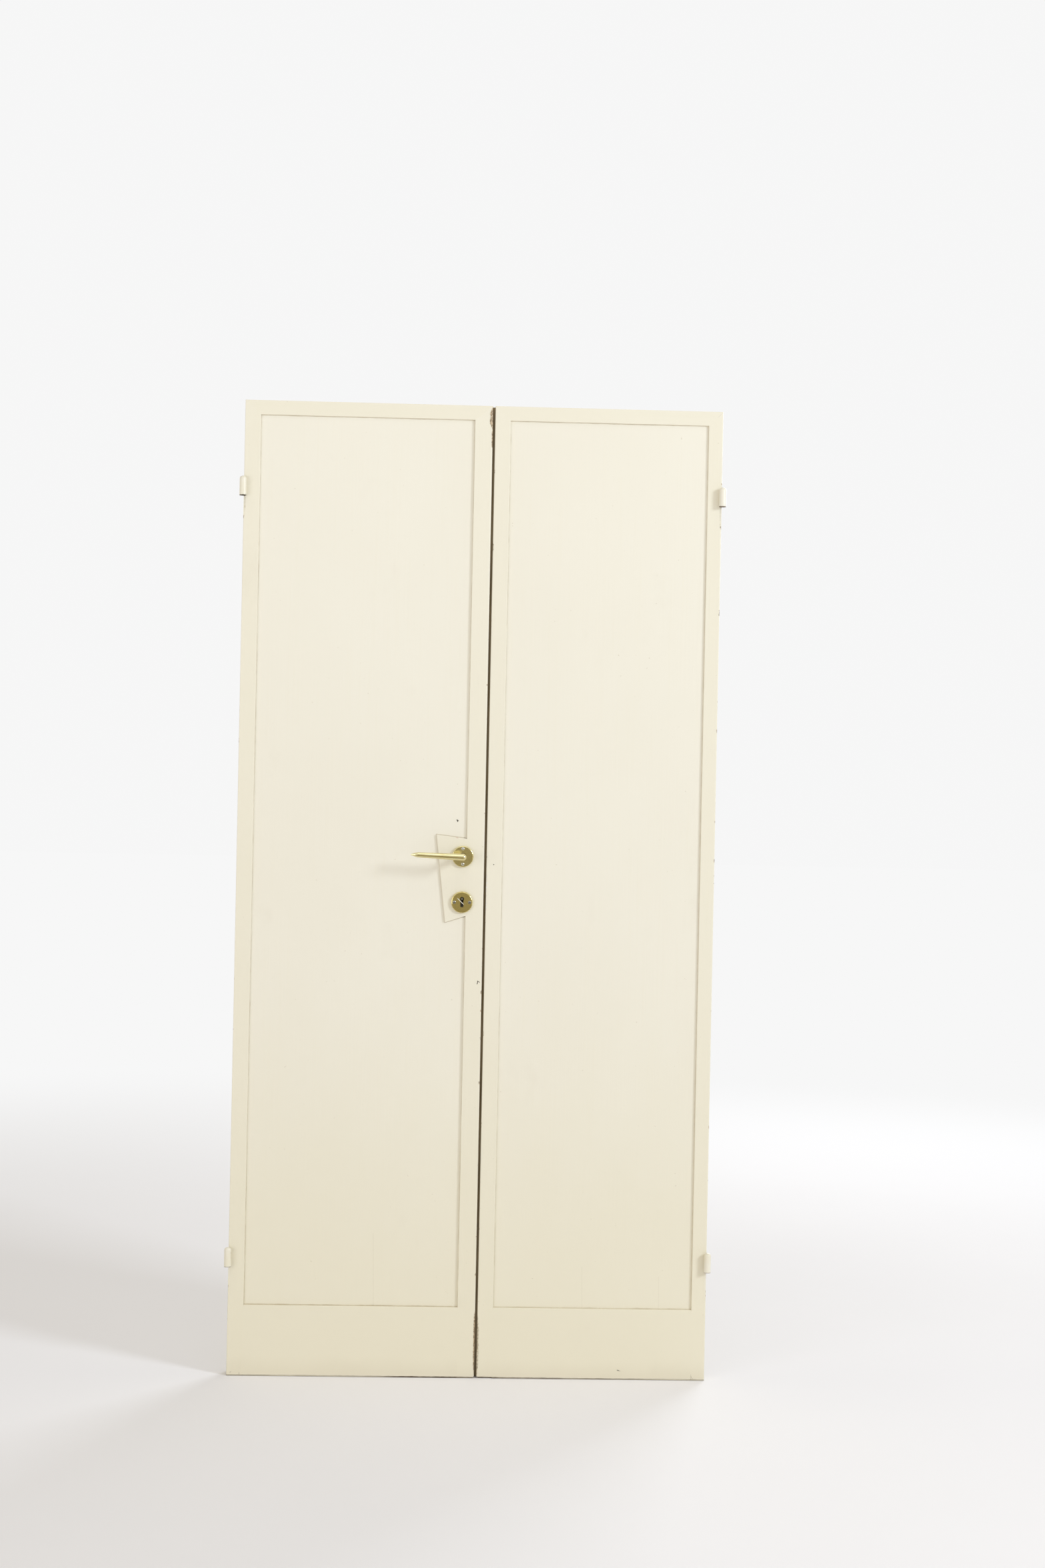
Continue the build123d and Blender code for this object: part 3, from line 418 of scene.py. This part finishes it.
# Where the bare wood of the rebates begins and where it is full, as Y
LIP_BACK, LIP_BACK_FULL = -0.0046, -0.0040
CORE_BACK, CORE_BACK_FULL = 0.01, 0.005
TONGUE_FACE, TONGUE_FACE_FULL = -0.0034, -0.0030
REBATE_SIDE, REBATE_SIDE_FULL = -0.0145, -0.0115
BARE_EASE = 0.0006


def lip_bare(g):
    """The unpainted back of the active lip and the core's edge behind it."""
    edge = g.times(g.faces(g.nx, 1), g.step(g.y, LIP_BACK, LIP_BACK_FULL))
    beyond_core = g.step(g.x, CORE_EDGE, CORE_EDGE + BARE_EASE)
    back = g.times(g.faces(g.ny, 1), beyond_core, g.step(g.y, CORE_BACK, CORE_BACK_FULL))
    return g.most(edge, back)


def tongue_bare(g):
    """The unpainted tongue of the passive leaf and the rebate beside it."""
    edge = g.times(g.faces(g.nx, -1), g.step(g.y, TONGUE_FACE, TONGUE_FACE_FULL))
    face = g.times(g.faces(g.ny, -1), g.step(g.x, PASSIVE_EDGE, PASSIVE_EDGE - BARE_EASE))
    rebate = g.times(g.faces(g.nx, -1), g.step(g.y, REBATE_SIDE, REBATE_SIDE_FULL))
    return g.most(edge, face, rebate)


# The reach of small nicks; how the edge of a chip runs out, as the reach that is left there; how far along its half
# length a lens keeps its whole reach; and how much of the reach is ragged
NICK_REACH = 0.0020
CHIP_OUT, CHIP_IN = -0.0002, 0.0003
LENS_FULL = 0.3
REACH_LEAST, REACH_RAGGED = 0.1, 1.8


def edge_chips(edge, lenses, seed, nick=NICK_REACH, broken=False):
    """Paint knocked off the front arris at x = edge.

    Each lens is (low z, high z, reach), nick is the reach of small nicks elsewhere, and broken splits them all.
    """

    def mask(g):
        away = g.length(g.add(g.x, -edge), g.add(g.y, -FRONT))
        reach = g.times(g.mask(g.noise(NICKS, seed), NICKS), nick)
        for low, high, depth in lenses:
            middle, half = 0.5 * (low + high), 0.5 * (high - low)
            out = g.math("ABSOLUTE", g.times(g.add(g.z, -middle), 1.0 / half))
            reach = g.most(reach, g.times(g.step(out, 1.0, LENS_FULL), depth))
        reach = g.times(reach, g.add(g.times(g.noise(RAGGED, seed), REACH_RAGGED), REACH_LEAST))
        if broken:
            reach = g.times(reach, g.mask(g.noise(BREAKS, seed), BREAKS))
        return g.step(g.add(reach, g.times(away, -1.0)), CHIP_OUT, CHIP_IN)

    return mask


LOCK_LENSES = [(1.985, 2.045, 0.0056), (1.935, 2.010, 0.0022), (-0.02, 0.170, 0.0028)]
PASSIVE_FOOT_LENSES = [(-0.02, 0.150, 0.0030)]
PASSIVE_MIDDLE_LENSES = [(0.965, 1.075, 0.0024)]
HINGE_LENSES = [(1.785, 1.845, 0.0026), (0.175, 0.240, 0.0018)]

# What sets each painted node apart from plain paint: the axis of its strokes, its shift and painted's other values
PAINTS = {
    "active_hinge_stile": ("Z", 1.0, dict(
        yellowed=0.5,
        chips=[(edge_chips(LEFT_EDGE, HINGE_LENSES, 2.0), CHIP_BROWN)],
        marks=[stain((-0.4990, 1.8385), (-0.4998, 1.800), 0.0008, STAIN, 0.8),
               stain((-0.4746, 0.0060), (-0.4744, 0.001), 0.0006, STAIN, 0.45),
               stain((-0.4935, 0.0065), (-0.4925, 0.0075), 0.0012, STAIN, 0.30)])),
    "active_lock_stile": ("Z", 2.0, dict(
        yellowed=0.4,
        bare=lip_bare,
        chips=[(edge_chips(LIP_EDGE, LOCK_LENSES, 4.0), CHIP_BROWN)],
        marks=[Mark((0.0078, 0.8330), (0.0112, 0.8306), 0.0007),
               Mark((0.0078, 0.8330), (0.0070, 0.8270), 0.0007)])),
    "active_top_rail": ("X", 3.0, dict(yellowed=0.55)),
    "active_bottom_rail": ("X", 4.0, dict(yellowed=0.3)),
    "active_panel": ("Z", 5.0, dict(
        grime_and_shade=panel_grime_and_shade(ACTIVE_PANEL, 0.8),
        marks=[Mark((-0.0420, 1.1700), (-0.0402, 1.1692), 0.0012),
               Mark((-0.0402, 1.1692), (-0.0410, 1.1668), 0.0009),
               stain((-0.2005, 0.300), (-0.1974, 0.149), 0.0006, GRIME_AND_SHADE, 0.12),
               stain((-0.0850, 1.1397), (-0.0205, 1.1322), 0.0009, GRIME_AND_SHADE, 0.40),
               stain((-0.0852, 1.1390), (-0.0642, 0.9550), 0.0008, GRIME_AND_SHADE, 0.18),
               stain((-0.0640, 0.9543), (-0.0205, 0.9683), 0.0009, GRIME_AND_SHADE, 0.40),
               stain((-0.0262, 1.1327), (-0.0206, 1.1320), 0.0008, DARK_GAP, 0.45),
               stain((-0.0275, 0.9663), (-0.0208, 0.9682), 0.0009, DARK_GAP, 0.60)])),
    "front_lock_block": ("Z", 6.0, dict(
        yellowed=0.45,
        marks=[stain((-0.0425, 1.1335), (-0.0400, 1.1332), 0.0014, RED_SPOT, 0.7)])),
    "rear_lock_block": ("Z", 7.0, dict(yellowed=0.45)),
    "passive_hinge_stile": ("Z", 8.0, dict(
        yellowed=0.5,
        chips=[(edge_chips(RIGHT_EDGE, HINGE_LENSES, 6.0), CHIP_BROWN)],
        marks=[stain((0.4910, 2.0290), (0.4995, 2.0380), 0.0005, STAIN, 0.22),
               stain((0.4993, 1.8364), (0.4996, 1.796), 0.0009, STAIN, 0.75),
               stain((0.4735, 0.0120), (0.4737, 0.001), 0.0005, STAIN, 0.55),
               stain((0.4737, 0.0085), (0.4775, 0.0025), 0.0005, STAIN, 0.45)])),
    "passive_meeting_stile": ("Z", 9.0, dict(
        yellowed=0.4,
        bare=tongue_bare,
        chips=[(edge_chips(PASSIVE_EDGE, PASSIVE_FOOT_LENSES, 8.0, nick=0.0016), CHIP_GREY),
               (edge_chips(PASSIVE_EDGE, PASSIVE_MIDDLE_LENSES, 9.0, nick=0.0, broken=True), CHIP_WHITE)],
        marks=[Mark((0.0362, 1.0780), (0.0367, 1.0782), 0.0009)])),
    "passive_top_rail": ("X", 10.0, dict(yellowed=0.45)),
    "passive_bottom_rail": ("X", 11.0, dict(
        yellowed=0.4,
        marks=[stain((0.3180, 0.0198), (0.3206, 0.0192), 0.0012, DARK_GAP, 0.72),
               stain((0.3225, 0.0185), (0.3236, 0.0182), 0.0009, STAIN, 0.45)])),
    "passive_panel": ("Z", 12.0, dict(
        grime_and_shade=panel_grime_and_shade(PASSIVE_PANEL, 0.45),
        marks=[stain((0.2393, 0.235), (0.2410, 0.149), 0.0006, GRIME_AND_SHADE, 0.10),
               stain((0.4015, 0.216), (0.4028, 0.149), 0.0006, GRIME_AND_SHADE, 0.10)])),
}


# Wear round the lower end of a hinge's knuckle: how high it is full and ends, and where it begins below
KNUCKLE_FULL, KNUCKLE_TOP, KNUCKLE_UNEVEN, KNUCKLE_BELOW = 0.0007, 0.0019, 0.0035, -0.0006
FLAKE_SHARE = 0.5
HINGE_ROUGH, HINGE_CLOUD_ROUGH, HINGE_BARE_ROUGH = 0.28, 0.15, 0.2
HINGE_RELIEF, HINGE_CLOUD_HEIGHT, HINGE_BARE_HEIGHT = 0.0003, 0.5, -1.2


def hinge_paint(name, shift, wear):
    """Cream paint over steel, worn to dark metal round the knuckle's open lower end; wear is from 0 to 1."""
    g = Graph(name)
    cloud = g.noise(HINGE_CLOUD, shift)
    flakes = g.noise(HINGE_FLAKES, shift)
    ends = []
    for knuckle_end in KNUCKLE_ENDS:
        rise = g.add(g.z, -knuckle_end)
        worn = g.step(g.add(rise, g.sway(flakes, KNUCKLE_UNEVEN)), KNUCKLE_TOP, KNUCKLE_FULL)
        ends.append(g.times(worn, g.step(rise, KNUCKLE_BELOW, 0.0)))
    flaked = g.times(g.mask(flakes, HINGE_FLAKES), FLAKE_SHARE)
    bare = g.most(g.times(g.most(*ends), wear), g.faces(g.nz, -1), flaked)
    color = g.mix(g.mask(cloud, HINGE_CLOUD), CREAM, CREAM_YELLOW)
    color = g.mix(bare, color, g.mix(g.mask(cloud, HINGE_BLOTCH), HINGE_STEEL, HINGE_STEEL_DARK))
    rough = g.add(HINGE_ROUGH, g.times(cloud, HINGE_CLOUD_ROUGH), g.times(bare, HINGE_BARE_ROUGH))
    height = g.add(g.times(cloud, HINGE_CLOUD_HEIGHT), g.times(bare, HINGE_BARE_HEIGHT))
    return g.shade(color, rough, normal=g.bump(height, HINGE_RELIEF))


# Brass: how much its dullness tints, smears and roughens it, and the depth of its smears and scratches
DULL_TINT, SMEAR_SHARE, DULL_SMEAR = 0.75, 0.12, 0.30
BRASS_ROUGH, DULL_ROUGH, BRASS_CLOUD_ROUGH, SMEAR_ROUGH = 0.05, 0.06, 0.08, 0.08
SMEAR_RELIEF, SCRATCH_RELIEF = 0.000024, 0.000015


def brass(name, shift, dull, wave):
    """Polished brass; dull is from 0, bright, to 1, and wave is how far its face is dented, in metres."""
    g = Graph(name)
    cloud = g.noise(BRASS_CLOUD, shift)
    smear = g.noise(BRASS_SMEAR, shift)
    scratch = g.noise(BRASS_SCRATCH, shift)
    dents = g.noise(BRASS_DENTS, shift)
    color = g.mix(g.mask(cloud, BRASS_CLOUD), BRASS, BRASS_DEEP)
    color = g.mix(DULL_TINT * dull, color, BRASS_DULL)
    smeared = g.times(g.mask(smear, BRASS_SMEAR), SMEAR_SHARE + DULL_SMEAR * dull)
    color = g.mix(smeared, color, BRASS_TARNISH)
    rough = g.add(BRASS_ROUGH + DULL_ROUGH * dull,
                  g.times(cloud, BRASS_CLOUD_ROUGH), g.times(smear, SMEAR_ROUGH))
    height = g.add(g.times(smear, SMEAR_RELIEF), g.times(scratch, SCRATCH_RELIEF), g.times(dents, wave))
    return g.shade(color, rough, metallic=1.0, normal=g.bump(height, 1.0))


# Steel: how it is dimmed below a height, how much darker its clouds are, and what brushing and rust do to it
DIM_EASE, DIM_SHARE = 0.001, 0.6
DARKER = 0.7
BRUSH_ROUGH, RUST_ROUGH, RUST_METAL = 0.16, 0.35, -0.8
STEEL_RELIEF = 0.00008


def steel(name, shift, tint, rough_base, rust=0.0, dim_below=0.0):
    """Plain steel with fine brushing, rust where it is asked for, and dimmed below a height."""
    g = Graph(name)
    cloud = g.noise(STEEL_CLOUD, shift)
    brush = g.noise(STEEL_BRUSH, shift)
    color = g.mix(g.mask(cloud, STEEL_CLOUD), tint, tuple(DARKER * v for v in tint))
    dim = g.times(g.step(g.z, dim_below, dim_below - DIM_EASE), DIM_SHARE)
    color = g.mix(dim, color, SCREW_SHADE)
    red = g.times(g.mask(cloud, STEEL_RUST), rust)
    color = g.mix(red, color, RUST)
    rough = g.add(rough_base, g.times(brush, BRUSH_ROUGH), g.times(red, RUST_ROUGH))
    metal = g.add(g.times(red, RUST_METAL), 1.0)
    return g.shade(color, rough, metallic=metal, normal=g.bump(g.add(brush, cloud), STEEL_RELIEF))


def dress(names, material):
    for name in names:
        mesh = nodes[name].data
        mesh.materials.clear()
        mesh.materials.append(material)


HINGE_WEAR = {"upper": 0.95, "lower": 0.55}
HINGE_SHIFT = 20.0
LEVER_DULL, LEVER_WAVE = 0.1, 0.00004
ROSE_DULL, ROSE_WAVE = 0.25, 0.0005
ESCUTCHEON_DULL, ESCUTCHEON_WAVE = 0.9, 0.0003
BETWEEN_ROSES = 1.05
BRASS_NODES = [
    ("front_lever", 30.0, LEVER_DULL, LEVER_WAVE),
    ("rear_lever", 31.0, LEVER_DULL, LEVER_WAVE),
    ("front_handle_rose", 32.0, ROSE_DULL, ROSE_WAVE),
    ("rear_handle_rose", 33.0, ROSE_DULL, ROSE_WAVE),
    ("key_escutcheon", 36.0, ESCUTCHEON_DULL, ESCUTCHEON_WAVE),
]

for node_name, (along, shift, finish) in PAINTS.items():
    dress([node_name], painted(f"paint_{node_name}", along, shift, **finish))
hinges = [(leaf, place) for leaf in ("active", "passive") for place in ("upper", "lower")]
for number, (leaf, place) in enumerate(hinges):
    node_name = f"{leaf}_{place}_hinge"
    dress([node_name], hinge_paint(f"paint_{node_name}", HINGE_SHIFT + number, HINGE_WEAR[place]))
for node_name, shift, dull, wave in BRASS_NODES:
    dress([node_name], brass(f"brass_{node_name}", shift, dull, wave))
dress(["front_rose_screws", "rear_rose_screws"],
      steel("bright_screws", 40.0, (0.72, 0.72, 0.70), 0.18, dim_below=BETWEEN_ROSES))
dress(["active_hinge_screws", "passive_hinge_screws"],
      hinge_paint("paint_hinge_screws", 41.0, HINGE_WEAR["lower"]))
dress(["forend_screws", "strike_screws", "bolt_plate_screws", "lever_set_screws"],
      steel("dull_screws", 42.0, (0.46, 0.45, 0.42), 0.30, rust=0.3))
dress(["lock_case", "lock_cover", "lock_follower", "latch_spring", "spindle"],
      steel("lock_steel", 43.0, (0.40, 0.39, 0.37), 0.34, rust=0.25))
dress(["lock_forend", "strike_plate", "top_bolt_plate", "bottom_bolt_plate", "top_flush_bolt",
       "bottom_flush_bolt"],
      steel("edge_plates", 44.0, (0.47, 0.46, 0.43), 0.30, rust=0.45))
dress(["latch_bolt", "dead_bolt"],
      steel("bolt_steel", 45.0, (0.55, 0.53, 0.48), 0.24, rust=0.1))


def new_mesh(name, verts, faces):
    mesh = bpy.data.meshes.new(name)
    mesh.from_pydata(verts, [], faces)
    return mesh


def new_object(name, data):
    made = bpy.data.objects.new(name, data)
    scene.collection.objects.link(made)
    return made


# The strand of paint or fibre across the keyhole: its two ends and the point that it bends towards
STRAND_START, STRAND_BEND, STRAND_END = (
    Vector((-0.0386, -0.0266, 1.0070)), Vector((-0.0312, -0.0272, 0.9998)), Vector((-0.0243, -0.0266, 0.9933)))
STRAND_RADIUS = 0.0007
STRAND_TIP = 0.35
STRAND_SIDES, STRAND_RINGS = 10, 24
BACKWARDS = Vector((0.0, 1.0, 0.0))


def strand(name):
    """A thin round strand, thinner towards its tips, as one closed mesh."""
    sides, rings = STRAND_SIDES, STRAND_RINGS
    verts, faces = [], []
    for ring in range(rings + 1):
        t = ring / rings
        middle = STRAND_START * (1 - t) ** 2 + STRAND_BEND * (2 * t * (1 - t)) + STRAND_END * t ** 2
        run = ((STRAND_BEND - STRAND_START) * (1 - t) + (STRAND_END - STRAND_BEND) * t).normalized()
        across = run.cross(BACKWARDS).normalized()
        up = across.cross(run)
        swell = math.sin(math.pi * min(1.0, 4 * t, 4 * (1 - t)) / 2)
        size = STRAND_RADIUS * (STRAND_TIP + (1.0 - STRAND_TIP) * swell)
        for side in range(sides):
            turn = 2 * math.pi * side / sides
            verts.append(middle + (across * math.cos(turn) + up * math.sin(turn)) * size)
    for ring in range(rings):
        low, high = ring * sides, (ring + 1) * sides
        for side in range(sides):
            after = (side + 1) % sides
            faces.append((low + side, low + after, high + after, high + side))
    faces.append(tuple(range(sides))[::-1])
    faces.append(tuple(rings * sides + side for side in range(sides)))
    mesh = new_mesh(name, verts, faces)
    for polygon in mesh.polygons:
        polygon.use_smooth = len(polygon.vertices) == 4
    return new_object(name, mesh)


wire = strand("keyhole_strand")
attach(wire, "active_leaf")
wire.data.materials.append(painted("paint_keyhole_strand", "Z", 14.0))

# Paint that bridges the joints between the stiles and the bottom rail on the front
FILM_HALF, FILM_PROUD, FILM_SUNK = 0.0017, 0.00006, 0.0006
FILM_FOOT, FILM_HEAD = 0.0018, RAIL_TOP - 0.0016
BOX_FACES = [(0, 1, 3, 2), (4, 6, 7, 5), (0, 2, 6, 4), (1, 5, 7, 3), (0, 4, 5, 1), (2, 3, 7, 6)]


def paint_film(name, middle, body, material):
    """A film of paint over the joint at middle along X."""
    corners = [(middle + side * FILM_HALF, y, z)
               for y in (FRONT - FILM_PROUD, FRONT + FILM_SUNK)
               for z in (FILM_FOOT, FILM_HEAD)
               for side in (-1, 1)]
    mesh = new_mesh(name, corners, BOX_FACES)
    mesh.materials.append(material)
    film = new_object(name, mesh)
    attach(film, body)


for leaf, panel, film_paint in (
        ("active_leaf", ACTIVE_PANEL, painted("paint_active_films", "X", 4.0, yellowed=0.35)),
        ("passive_leaf", PASSIVE_PANEL, painted("paint_passive_films", "X", 11.0, yellowed=0.4))):
    for side, middle in zip(("left", "right"), panel):
        paint_film(f"{leaf}_{side}_joint_paint", middle, leaf, film_paint)

# The latch spring flattens as the latch draws in; a copy of it takes its place
flexing_spring = new_object("flexing_latch_spring", nodes["latch_spring"].data.copy())
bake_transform(flexing_spring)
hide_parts("latch_spring")

FLOOR_HALF, FLOOR_HEIGHT = 30, -0.0005
FLOOR_LIGHT, FLOOR_DARK = (0.935, 0.915, 0.935), (0.905, 0.885, 0.905)
FLOOR_FAR = (0.93, 0.93, 0.93, 1.0)
FLOOR_ROUGH = 0.6
FADE_START, FADE_END = 1.5, 5.0


def floor_material():
    """Pale floor that keeps the shadow near the doors and fades to white far off."""
    g = Graph("pale_floor")
    g.shade(g.mix(g.noise(FLOOR_CLOUD), FLOOR_DARK, FLOOR_LIGHT), FLOOR_ROUGH)
    lit = g.surface.links[0].from_socket
    lit.node.inputs["Specular IOR Level"].default_value = 0.0
    blend = g.node("MixShader")
    g.put(g.step(g.length(g.x, g.y), FADE_START, FADE_END), blend.inputs[0])
    g.put(lit, blend.inputs[1])
    g.put(g.glow(FLOOR_FAR), blend.inputs[2])
    g.put(blend.outputs[0], g.surface)
    return g.material


floor_corners = [(x * FLOOR_HALF, y * FLOOR_HALF, 0) for x, y in ((-1, -1), (1, -1), (1, 1), (-1, 1))]
floor = new_object("floor", new_mesh("floor", floor_corners, [(0, 1, 2, 3)]))
floor.location.z = FLOOR_HEIGHT
floor.data.materials.append(floor_material())

# Dim card before the doors, lying on the floor and standing up behind the camera. Only reflections see it, so that
# the brass has something to show.
CARD_HALF, CARD_NEAR, CARD_BACK, CARD_FOOT, CARD_TOP = 3.2, -0.9, -8.0, 0.01, 2.2
CARD_DARK, CARD_LIGHT = (0.34, 0.30, 0.19), (0.44, 0.39, 0.27)

card_corners = [
    (-CARD_HALF, CARD_NEAR, CARD_FOOT), (CARD_HALF, CARD_NEAR, CARD_FOOT),
    (CARD_HALF, CARD_BACK, CARD_FOOT), (-CARD_HALF, CARD_BACK, CARD_FOOT),
    (CARD_HALF, CARD_BACK, CARD_TOP), (-CARD_HALF, CARD_BACK, CARD_TOP)]
card = new_object("dim_card", new_mesh("dim_card", card_corners, [(0, 1, 2, 3), (3, 2, 4, 5)]))
card_graph = Graph("dim_card")
card_tone = card_graph.mix(card_graph.noise(CARD_CLOUD), CARD_DARK, CARD_LIGHT)
card_graph.put(card_graph.glow(card_tone), card_graph.surface)
card.data.materials.append(card_graph.material)
card.visible_camera = False
card.visible_diffuse = False
card.visible_transmission = False
card.visible_shadow = False

# White surroundings, which light the doors less, and more warmly, than they look to the camera and in reflections
LIGHT_TINT, LIGHT_STRENGTH = (1.0, 0.955, 0.845, 1.0), 0.52
SEEN_TINT, SEEN_STRENGTH = (0.925, 0.925, 0.925, 1.0), 1.0

world = bpy.data.worlds.new("studio")
scene.world = world
world.use_nodes = True
tree = world.node_tree
tree.nodes.clear()


def background(tint, strength):
    node = tree.nodes.new("ShaderNodeBackground")
    node.inputs["Color"].default_value = tint
    node.inputs["Strength"].default_value = strength
    return node.outputs[0]


path = tree.nodes.new("ShaderNodeLightPath")
seen = path.outputs["Is Camera Ray"]
for ray in ("Is Glossy Ray", "Is Transmission Ray"):
    either = tree.nodes.new("ShaderNodeMath")
    either.operation = "MAXIMUM"
    tree.links.new(seen, either.inputs[0])
    tree.links.new(path.outputs[ray], either.inputs[1])
    seen = either.outputs[0]
surroundings = tree.nodes.new("ShaderNodeMixShader")
tree.links.new(seen, surroundings.inputs[0])
tree.links.new(background(LIGHT_TINT, LIGHT_STRENGTH), surroundings.inputs[1])
tree.links.new(background(SEEN_TINT, SEEN_STRENGTH), surroundings.inputs[2])
tree.links.new(surroundings.outputs[0], tree.nodes.new("ShaderNodeOutputWorld").inputs["Surface"])

# Lamps: name, place, target, size in metres, power in watts, tint
WHITE = (1.0, 1.0, 1.0)
LAMPS = [
    ("key", (5.4, -4.0, 3.45), (0.0, 0.0, 0.4), 1.5, 226.0, (0.82, 0.90, 0.99)),
    ("fill", (-4.2, -4.6, 1.2), (0.0, 0.0, 0.5), 2.5, 68.0, WHITE),
    ("top", (0.0, -2.6, 5.0), (0.0, -1.7, 0.0), 3.0, 24.0, WHITE),
    ("back", (2.6, 5.0, 3.2), (0.0, 0.0, 1.0), 2.5, 150.0, (0.88, 0.94, 1.0)),
]

for lamp_name, place, target, size, power, tint in LAMPS:
    light = bpy.data.lights.new(lamp_name, "AREA")
    light.color = tint
    light.size = size
    light.energy = power
    lamp = new_object(lamp_name, light)
    lamp.location = place
    lamp.rotation_euler = (Vector(target) - Vector(place)).to_track_quat("-Z", "Y").to_euler()

# Camera, fitted to the corners of the doors in the photo
CAMERA_PLACE = (-0.0606, -4.5891, 1.2521)
CAMERA_TURN = (89.954, -1.155, -1.933)
LENS_MM, SENSOR_MM = 50.0, 36.0

camera_data = bpy.data.cameras.new("camera")
camera_data.sensor_fit = "VERTICAL"
camera_data.sensor_height = SENSOR_MM
camera_data.lens = LENS_MM
camera = new_object("camera", camera_data)
camera.location = CAMERA_PLACE
camera.rotation_euler = [math.radians(angle) for angle in CAMERA_TURN]
scene.camera = camera
scene.view_settings.view_transform = "Standard"
